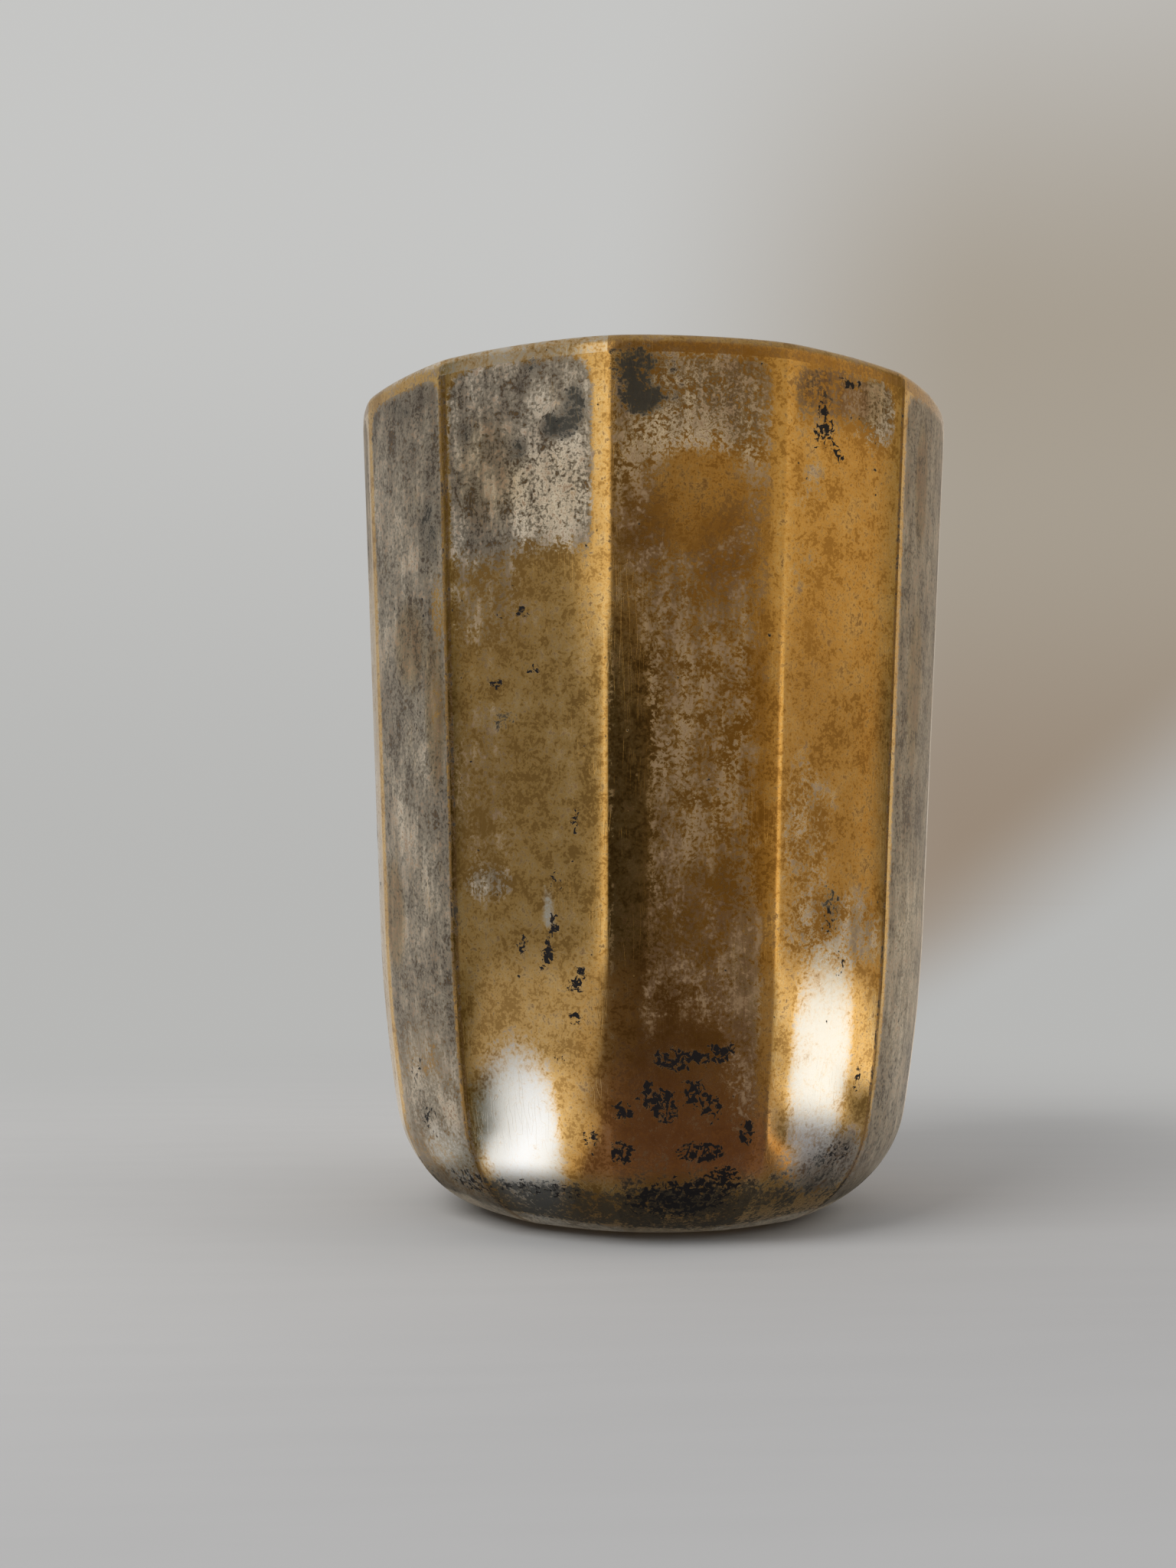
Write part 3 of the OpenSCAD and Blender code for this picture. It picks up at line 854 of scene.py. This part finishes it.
class TUMBLER_OT_rim_ring(bpy.types.Operator):
    """Builds the rim ring: facets that turn over its rounded edge, and a tongue between the walls"""

    bl_idname = "tumbler.rim_ring"
    bl_label = "Rim ring"

    def execute(self, context):
        sizes = context.scene.tumbler_sizes
        facet, place, angle, direction, soft = facet_columns()
        columns = len(angle)
        rounding = sizes.rim_outer_round
        rise_rows, turn_rows = RIM_ROWS
        rise = np.linspace(sizes.shoulder, sizes.height - rounding, rise_rows, endpoint=False)
        turn = np.linspace(0, math.pi / 2, turn_rows)
        inwards = np.append(np.zeros(rise_rows), rounding * (1 - np.cos(turn)))
        middle = sizes.rim_radius - inwards
        level = np.append(rise, sizes.height - rounding + rounding * np.sin(turn))
        worn = 1 + (RIM_SOFTER - 1) * smooth((level - sizes.shoulder) / (sizes.height - sizes.shoulder))
        outer = facet_radius(sizes, middle[:, None], angle, soft * worn[:, None])
        face = np.stack([outer, np.repeat(level[:, None], columns, 1)], -1)
        inner = sizes.rim_inner_round
        lip = wall_radius(sizes, sizes.mouth_inset, sizes.height - inner)
        mouth = wall_radius(sizes, sizes.mouth_inset, sizes.shoulder)
        top, low = ((
            (wall_radius(sizes, sizes.liner_inset, z), z),
            (wall_radius(sizes, sizes.shell_thickness, z) - sizes.joint_gap, z),
        ) for z in (sizes.shoulder, sizes.tongue_low))
        rest = line_through(
            arc((lip + inner, sizes.height - inner), inner, math.pi / 2, math.pi, 9),
            straight((lip, sizes.height - inner), (mouth, sizes.shoulder), 4),
            straight((mouth, sizes.shoulder), top[0], 3),
            straight(top[0], low[0], 3),
            straight(low[0], low[1], 2),
            straight(low[1], top[1], 3))
        loop = np.concatenate([face, np.repeat(rest[:, None], columns, 1)])[::-1]
        piece = loop_piece("rim_ring_band", placed(loop[..., 0], direction, loop[..., 1]), TURNED_SHARP)
        height = loop[..., 1] / MM
        fields = finish_fields(facet, place, outer[0] / MM, height)
        over = smooth((height - RIM_TURN) / RIM_TURN_EDGE)
        worn_away, stained, polished = RIM_BAND[facet].T
        fields |= {
            "wear": worn_away * (0.5 + 0.5 * over),
            "tone": 0.50 + 0.15 * over,
            "stain": np.maximum(stained - 0.40 * over, 0),
            "bright": polished,
            "smoke_and_shade": fields["smoke_and_shade"] * (1 - over),
            "specks": np.clip(fields["specks"] + 0.30, 0, 1),
            "edge": np.maximum(fields["edge"], 0.4),
        }
        store_fields(piece, fields, height.shape)
        material = metal_material("Gilt rim", pits=0.55, scratching=0.6, bump=0.4)
        dress(piece, "rim_ring", material)
        return {"FINISHED"}


class TUMBLER_OT_inner_liner(bpy.types.Operator):
    """Builds the round liner that holds the drink"""

    bl_idname = "tumbler.inner_liner"
    bl_label = "Inner liner"

    def execute(self, context):
        sizes = context.scene.tumbler_sizes
        lift = box_side("inner_liner", 0, 2)
        thick = sizes.mouth_inset - sizes.liner_inset

        def side(inset, floor, foot, rows):
            lean, hub = foot_curve(sizes, inset, floor, foot)
            belly = belly_centre(sizes) + (sizes.belly_radius - inset) * outward(
                np.linspace(sizes.wall_lean, lean, rows))
            top = (wall_radius(sizes, inset, sizes.shoulder), sizes.shoulder)
            foot_line = hub + foot * outward(np.linspace(lean, math.pi / 2, 2 * rows))
            return line_through(
                straight(top, belly[0], 2 * rows), belly, foot_line,
                straight((hub[0], floor), (0.0, floor), rows))

        inside = side(sizes.mouth_inset, lift + thick, sizes.liner_corner, 20)
        outside = side(sizes.liner_inset, lift, sizes.liner_corner + thick, 8)
        piece = turned_piece("inner_liner_cup", line_through(inside[::-1], outside))
        level = points_of(piece)[:, 2]
        tide = band(level, middle=62, half=3)
        fields = {
            "wear": 0.14 + 0.22 * below(level, 16, 10) + 0.15 * tide,
            "tone": 0.45 + 0.15 * tide,
            "stain": 0.16 + 0.35 * below(level, 12, 9) + 0.25 * tide,
            "smoke_and_shade": 0.10 + 0.20 * below(level, 9, 5),
            "specks": 0.20 + 0.20 * below(level, 12, 8),
            "crust": 0.3,
            "bright": 0,
            "edge": 0,
        }
        store_fields(piece, fields, level.shape)
        material = metal_material("Gilt liner", pits=0.25, scratching=0.7, bump=0.4)
        dress(piece, "inner_liner", material)
        return {"FINISHED"}


class TUMBLER_OT_base_plate(bpy.types.Operator):
    """Builds the base plate: the foot's curve, a flat standing ring and a shallow recess"""

    bl_idname = "tumbler.base_plate"
    bl_label = "Base plate"

    def execute(self, context):
        sizes = context.scene.tumbler_sizes
        _, hub = foot_curve(sizes, 0, 0, sizes.foot_radius)
        top, depth = sizes.plate_thickness, sizes.recess_depth
        reach = math.asin((sizes.plate_radius - hub[0]) / sizes.foot_radius)
        curve = hub + sizes.foot_radius * outward(np.linspace(math.pi / 2 - reach, math.pi / 2, 16))
        ease, recess = EDGE_EASE, sizes.recess_radius
        line = line_through(
            straight((0, top), (sizes.plate_radius - ease, top), 12),
            straight((sizes.plate_radius, top - ease), curve[0], 3),
            curve,
            straight((hub[0], 0), (recess + ease, 0), 10),
            arc((recess + ease, ease), ease, -math.pi / 2, -math.pi, 5),
            straight((recess, ease), (recess, depth - ease), 3),
            arc((recess - ease, depth - ease), ease, 0, math.pi / 2, 5),
            straight((recess - ease, depth), (0, depth), 14))
        piece = turned_piece("base_plate_disc", line)
        ring = np.hypot(*points_of(piece).T[:2])
        standing = band(ring, middle=14.2, half=2.6)
        fields = {
            "wear": 0.62 + 0.30 * standing,
            "tone": 0.42 + 0.25 * standing,
            "stain": 0.30 - 0.25 * standing + 0.20 * smooth((ring - 16) / 3),
            "smoke_and_shade": 0.12 + 0.25 * band(ring, middle=11.6, half=1.2),
            "specks": 0.40 - 0.20 * standing,
            "crust": 0.4,
            "bright": 0.45 * standing,
            "edge": 0,
        }
        store_fields(piece, fields, ring.shape)
        material = metal_material("Worn silver base", pits=0.6, scratching=1.0, bump=0.5)
        dress(piece, "base_plate", material)
        return {"FINISHED"}


class TUMBLER_OT_solder_beads(bpy.types.Operator):
    """Gives the two hidden solder beads a dull, run finish"""

    bl_idname = "tumbler.solder_beads"
    bl_label = "Solder beads"

    def execute(self, context):
        material, tree = new_material("Run solder")
        place = tree.place()
        flow = tree.noise(place, 380.0, 4.0, 0.6)
        grain = tree.noise(place, 2200.0, 2.0)
        tint = context.scene.tumbler_finish.solder
        dull = tuple(0.55 * c for c in tint)
        raised = tree.add("ShaderNodeBump", {"Strength": 0.5, "Distance": 0.0001, "Height": flow})
        shader = tree.add("ShaderNodeBsdfPrincipled", {
            "Base Color": tree.mix(tree.step(flow, 0.35, 0.65), dull, tint),
            "Roughness": tree.blend(grain, 0.35, 0.6),
            "Metallic": 1.0, "Normal": raised.outputs["Normal"]})
        tree.end(shader)
        for name in ("rim_solder_bead", "base_solder_bead"):
            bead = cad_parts[name]
            bead.data.materials.clear()
            bead.data.materials.append(material)
        return {"FINISHED"}


# Stage

# What the metal mirrors, by direction from -Y towards +X in degrees, each with its red, green
# and blue: the room at the level of the cup
ROOM_LEVEL = [
    (-180, 0.56, 0.56, 0.54), (-106, 0.57, 0.57, 0.54), (-100, 0.06, 0.055, 0.03), (-82, 0.06, 0.055, 0.03),
    (-76, 0.245, 0.24, 0.215), (-42, 0.245, 0.24, 0.215), (-36, 0.27, 0.26, 0.22), (-32, 0.90, 0.82, 0.62),
    (-27, 0.60, 0.52, 0.36), (-23, 0.045, 0.040, 0.030), (-4, 0.045, 0.040, 0.030), (4, 0.19, 0.153, 0.095),
    (18, 0.225, 0.17, 0.085), (28, 0.24, 0.165, 0.060), (35, 0.40, 0.30, 0.15), (39, 0.95, 0.78, 0.48),
    (50, 0.85, 0.70, 0.42), (55, 0.40, 0.315, 0.185), (79, 0.40, 0.31, 0.175), (84, 0.50, 0.37, 0.19),
    (90, 0.14, 0.13, 0.095), (101, 0.13, 0.12, 0.09), (105, 0.70, 0.64, 0.50), (116, 0.66, 0.62, 0.52),
    (121, 0.60, 0.56, 0.50), (180, 0.56, 0.56, 0.54),
]
# The room above that level
ROOM_HIGH = [
    (-180, 0.49, 0.49, 0.47), (-106, 0.49, 0.49, 0.46), (-100, 0.16, 0.15, 0.10), (-82, 0.15, 0.14, 0.09),
    (-76, 0.30, 0.29, 0.26), (-50, 0.29, 0.28, 0.25), (-43, 0.33, 0.32, 0.28), (-38, 0.85, 0.80, 0.66),
    (-19, 0.95, 0.86, 0.66), (-14, 0.16, 0.135, 0.10), (3, 0.29, 0.22, 0.12), (20, 0.35, 0.26, 0.13),
    (27, 0.34, 0.25, 0.12), (32, 0.50, 0.40, 0.22), (50, 0.62, 0.49, 0.27), (56, 0.58, 0.455, 0.25),
    (82, 0.56, 0.43, 0.23), (92, 0.28, 0.24, 0.14), (101, 0.26, 0.23, 0.15), (105, 0.60, 0.53, 0.40),
    (121, 0.55, 0.50, 0.43), (180, 0.49, 0.49, 0.47),
]
# Painted reflections: what the floor glows with for the metal alone, though it is no lamp, by direction as
# above. Bright patches of painted light and dark stretches of painted shade, outermost ring first
FLOOR_MIDDLE = [
    (-180, 0.60, 0.60, 0.58), (-96, 0.62, 0.61, 0.57), (-86, 0.12, 0.11, 0.07), (-72, 0.12, 0.11, 0.07),
    (-65, 0.45, 0.45, 0.45), (-40, 0.52, 0.51, 0.48), (-33, 0.50, 0.45, 0.36), (-28, 0.12, 0.095, 0.07),
    (0, 0.095, 0.070, 0.050), (18, 0.15, 0.115, 0.075), (32, 0.28, 0.22, 0.14), (46, 0.50, 0.45, 0.34),
    (54, 1.18, 1.13, 1.02), (78, 1.26, 1.20, 1.06), (84, 0.36, 0.32, 0.23), (90, 0.16, 0.14, 0.10),
    (98, 0.42, 0.39, 0.31), (112, 0.80, 0.77, 0.72), (180, 0.60, 0.60, 0.58),
]
FLOOR_NEXT = [
    (-180, 0.60, 0.60, 0.58), (-90, 0.64, 0.62, 0.57), (-78, 0.11, 0.10, 0.065), (-62, 0.09, 0.085, 0.055),
    (-56, 0.76, 0.76, 0.73), (-48, 1.00, 1.02, 1.05), (-41, 0.98, 0.98, 0.96), (-36, 0.74, 0.70, 0.62),
    (-33, 0.56, 0.50, 0.40), (-30, 0.15, 0.11, 0.088), (0, 0.16, 0.113, 0.105), (16, 0.19, 0.137, 0.105),
    (25, 0.22, 0.17, 0.11), (36, 0.40, 0.34, 0.25), (43, 0.50, 0.42, 0.31), (47, 1.20, 1.16, 1.06),
    (62, 1.30, 1.26, 1.15), (69, 0.24, 0.23, 0.19), (86, 0.16, 0.15, 0.12), (96, 0.62, 0.60, 0.54),
    (180, 0.60, 0.60, 0.58),
]
FLOOR_CLOSE = [
    (-180, 0.42, 0.42, 0.40), (-80, 0.46, 0.44, 0.40), (-70, 0.12, 0.11, 0.075), (-59, 0.09, 0.085, 0.055),
    (-53, 0.92, 0.92, 0.90), (-44, 1.16, 1.19, 1.24), (-38, 1.10, 1.10, 1.08), (-33, 0.74, 0.71, 0.64),
    (-29, 0.62, 0.53, 0.38), (-26, 0.19, 0.135, 0.125), (24, 0.18, 0.12, 0.115), (33, 0.16, 0.115, 0.08),
    (37, 0.80, 0.58, 0.36), (41, 0.28, 0.285, 0.31), (66, 0.30, 0.30, 0.31), (84, 0.36, 0.34, 0.30),
    (110, 0.46, 0.44, 0.40), (180, 0.42, 0.42, 0.40),
]
# Distances in metres from the axis over which each ring begins, from under the foot out to the room
PAINTED_REFLECTION_RINGS = (
    (0.030, 0.038, FLOOR_CLOSE), (0.060, 0.074, FLOOR_NEXT),
    (0.076, 0.098, FLOOR_MIDDLE), (0.15, 0.27, ROOM_LEVEL))
# Heights on a unit sphere over which the room gives way to its upper part, and that to what is overhead
ROOM_STEP = (0.058, 0.076)
OVERHEAD_STEP = (0.35, 0.85)
# The backdrop on that sphere: where it grows lighter, where its shade does, where that shade begins towards
# +X and ends upwards, and its lower edge, which slants
BACKDROP_RISE = (0.0, 0.42)
SHADE_RISE = (0.03, 0.24)
SHADE_SIDE = (0.08, 0.31)
SHADE_TOP = (0.30, 0.58)
SHADE_SLANT = (-0.355, -0.235)
SHADE_SLOPE = -0.9
# The shade fades out on the floor near the cup, by 1 over the distance with some metres added: how many are
# added, and the value at which no shade is left
NEAR_ADDED = 0.2
NEAR_FULL = 3.0
# The floor: the radii of its two inmost rings, the distances over which its paint gives way to the backdrop's
# colour and to its own paler back, and the slant of that back's edge. The paler back and left are painted
# light, as if more light fell there.
FLOOR_INMOST = (1e-4, 0.02)
FLOOR_FADE = (0.08, 0.26)
FLOOR_BEHIND = (-0.10, 0.06)
FLOOR_SLANT = -0.6
# Soft lights: place, width in metres and tint. They are turned to the middle of the cup.
KEY_LIGHT = ((-0.42, -0.36, 0.52), 0.42, (1.0, 0.99, 0.97))
FILL_LIGHT = ((0.55, -0.10, 0.40), 0.50, (1.0, 0.95, 0.88))
CUP_MIDDLE = Vector((0, 0, 0.05))
# The camera: its place in metres, and in degrees its turn to the right, its tilt up and its roll
CAMERA_PLACE = (-0.0274, -0.2144, 0.0387)
CAMERA_TURN = 5.2
CAMERA_TILT = 3.86
CAMERA_ROLL = 0.37


def round_ramp(tree, place, stops):
    """Colours round the axis: the direction of a place from -Y towards +X looked up between stops."""
    parts = tree.parts(place)
    turn = tree.maths("ARCTAN2", parts["X"], tree.maths("MULTIPLY", parts["Y"], -1.0))
    share = tree.maths("MULTIPLY_ADD", turn, 0.5 / math.pi, 0.5)
    ramp = tree.add("ShaderNodeValToRGB", {"Fac": share})
    ramp.color_ramp.interpolation = "EASE"
    elements = ramp.color_ramp.elements
    while len(elements) < len(stops):
        elements.new(0.5)
    for element, (degrees, *tint) in zip(elements, stops):
        element.position = degrees / 360 + 0.5
        element.color = (*tint, 1)
    return ramp.outputs["Color"]


class TUMBLER_OT_stage(bpy.types.Operator):
    """Sets the pale floor, the soft lights, the surroundings and the camera"""

    bl_idname = "tumbler.stage"
    bl_label = "Stage"

    def execute(self, context):
        look = context.scene.tumbler_stage
        self.floor(look)
        self.surroundings(context, look)
        self.lamp(context, "key_light", look.key_power, *KEY_LIGHT)
        self.lamp(context, "fill_light", look.fill_power, *FILL_LIGHT)
        self.camera(context, look)
        context.scene.view_settings.view_transform = "Standard"
        return {"FINISHED"}

    def backdrop(self, tree, toward, look, reach):
        """The pale background: lighter at its top, with a soft shade towards +X that is deeper low down."""
        parts = tree.parts(toward)
        pale = tree.mix(tree.step(parts["Z"], *BACKDROP_RISE), look.backdrop_low, look.backdrop)
        shade = tree.mix(tree.step(parts["Z"], *SHADE_RISE), look.backdrop_deep, look.backdrop_shade)
        slant = tree.maths("MULTIPLY_ADD", parts["X"], SHADE_SLOPE, tree.maths("MAXIMUM", parts["Z"], 0.0))
        shaded = reach
        for bound in (
                tree.step(parts["X"], *SHADE_SIDE), tree.step(parts["Z"], *SHADE_TOP, 1.0, 0.0),
                tree.step(slant, *SHADE_SLANT)):
            shaded = tree.maths("MULTIPLY", shaded, bound)
        return tree.mix(shaded, pale, shade)

    def floor(self, look):
        """A flat disc: rings of a growing radius round the axis."""
        rings, columns = FLOOR_GRID
        inmost, first = FLOOR_INMOST
        ring = np.append(inmost, np.geomspace(first, look.floor_radius, rings))
        direction = np.linspace(0, 2 * math.pi, columns, endpoint=False)
        points = placed(ring[:, None], direction, np.zeros((len(ring), len(direction))))
        faces = ring_faces(len(ring), len(direction), False)
        floor = mesh_piece("pale_floor", points, faces.tolist(), FACET_SHARP)
        material, tree = new_material("Pale painted floor")
        place = tree.place()
        away = tree.vector("LENGTH", {0: place})["Value"]
        toward = tree.vector("NORMALIZE", {0: place})["Vector"]
        nearness = tree.maths("DIVIDE", 1.0, tree.maths("ADD", away, NEAR_ADDED))
        reach = tree.step(nearness, 0.0, NEAR_FULL, 1.0, 0.0)
        brush = tree.noise(tree.stretched(place, (1.0, 7.0, 1.0)), 26.0, 4.0)
        parts = tree.parts(place)
        # Painted light: paler paint behind and to the left of the cup
        slant = tree.maths("MULTIPLY_ADD", parts["X"], FLOOR_SLANT, parts["Y"])
        behind = tree.step(slant, *FLOOR_BEHIND)
        paint = tree.mix(behind, look.floor, look.floor_back_painted_light)
        paint = tree.mix(tree.step(brush, 0.3, 0.7, 0.0, 0.03), paint, (0.2, 0.2, 0.2))
        matt = tree.add("ShaderNodeBsdfDiffuse", {"Color": paint})
        # The floor glows with these painted reflections of light and shade for glossy rays only
        painted_reflection = look.under
        for low, high, stops in PAINTED_REFLECTION_RINGS:
            painted_reflection = tree.mix(tree.step(away, low, high), painted_reflection, round_ramp(tree, place, stops))
        glow = tree.add("ShaderNodeEmission", {"Color": painted_reflection})
        far = tree.add("ShaderNodeEmission", {"Color": self.backdrop(tree, toward, look, reach)})
        path = tree.add("ShaderNodeLightPath").outputs

        def either(share, first, second):
            return tree.add("ShaderNodeMixShader", {0: share, 1: first.outputs[0], 2: second.outputs[0]})

        faded = either(tree.step(away, *FLOOR_FADE), matt, far)
        shown = either(path["Is Camera Ray"], matt, faded)
        tree.end(either(path["Is Glossy Ray"], shown, glow))
        floor.data.materials.append(material)

    def surroundings(self, context, look):
        """A world that is even for light, pale for the camera, and a lit room for the metal."""
        world = bpy.data.worlds.new("Studio")
        world.use_nodes = True
        context.scene.world = world
        tree = Tree(world.node_tree)
        toward = tree.add("ShaderNodeTexCoord").outputs["Generated"]
        up = tree.parts(toward)["Z"]
        level, high = (round_ramp(tree, toward, stops) for stops in (ROOM_LEVEL, ROOM_HIGH))
        room = tree.mix(tree.step(up, *ROOM_STEP), level, high)
        room = tree.mix(tree.step(up, *OVERHEAD_STEP), room, look.overhead)
        path = tree.add("ShaderNodeLightPath").outputs
        even = tree.mix(path["Is Camera Ray"], (look.ambient,) * 3, self.backdrop(tree, toward, look, 1.0))
        tint = tree.mix(path["Is Glossy Ray"], even, room)
        tree.end(tree.add("ShaderNodeBackground", {"Color": tint, "Strength": 1.0}), "ShaderNodeOutputWorld")

    def lamp(self, context, name, power, place, size, tint):
        """A square soft light turned to the middle of the cup."""
        light = bpy.data.lights.new(name, "AREA")
        light.size, light.energy, light.color = size, power, tint
        lamp = bpy.data.objects.new(name, light)
        lamp.location = place
        lamp.visible_glossy = False
        lamp.rotation_euler = (CUP_MIDDLE - lamp.location).to_track_quat("-Z", "Y").to_euler()
        context.scene.collection.objects.link(lamp)

    def camera(self, context, look):
        """A camera level with the lower half of the cup, a little to its left, tilted slightly up."""
        view = bpy.data.cameras.new("photo_view")
        view.lens, view.clip_start = look.lens, 0.01
        camera = bpy.data.objects.new("photo_view", view)
        turn = Matrix.Rotation(math.radians(-CAMERA_TURN), 4, "Z")
        tilt = Matrix.Rotation(math.radians(90 + CAMERA_TILT), 4, "X")
        roll = Matrix.Rotation(math.radians(CAMERA_ROLL), 4, "Z")
        camera.matrix_world = Matrix.Translation(CAMERA_PLACE) @ turn @ tilt @ roll
        context.scene.collection.objects.link(camera)
        context.scene.camera = camera


class TUMBLER_PT_panel(bpy.types.Panel):
    """Lists the steps that build the tumbler"""

    bl_idname = "TUMBLER_PT_panel"
    bl_label = "Gilt tumbler"
    bl_space_type = "VIEW_3D"
    bl_region_type = "UI"
    bl_category = "Tumbler"

    def draw(self, context):
        layout = self.layout
        for step in STEPS:
            layout.operator(step.bl_idname)
        for settings in SETTINGS:
            box = layout.box()
            group_of = getattr(context.scene, settings)
            for name in group_of.__annotations__:
                box.prop(group_of, name)


STEPS = (
    TUMBLER_OT_faceted_shell,
    TUMBLER_OT_rim_ring,
    TUMBLER_OT_inner_liner,
    TUMBLER_OT_base_plate,
    TUMBLER_OT_solder_beads,
    TUMBLER_OT_stage,
)
SETTINGS = {
    "tumbler_sizes": TumblerSizes,
    "tumbler_finish": TumblerFinish,
    "tumbler_stage": TumblerStage,
}


def register():
    """Registers the settings, the operators and the panel."""
    for name, kind in SETTINGS.items():
        bpy.utils.register_class(kind)
        setattr(bpy.types.Scene, name, PointerProperty(type=kind))
    for kind in (*STEPS, TUMBLER_PT_panel):
        bpy.utils.register_class(kind)


def unregister():
    """Undoes register."""
    for kind in (TUMBLER_PT_panel, *reversed(STEPS)):
        bpy.utils.unregister_class(kind)
    for name, kind in reversed(list(SETTINGS.items())):
        delattr(bpy.types.Scene, name)
        bpy.utils.unregister_class(kind)


def main():
    """Builds every piece and the stage."""
    register()
    for step in STEPS:
        area, name = step.bl_idname.split(".")
        getattr(getattr(bpy.ops, area), name)()


if __name__ == "__main__":
    main()
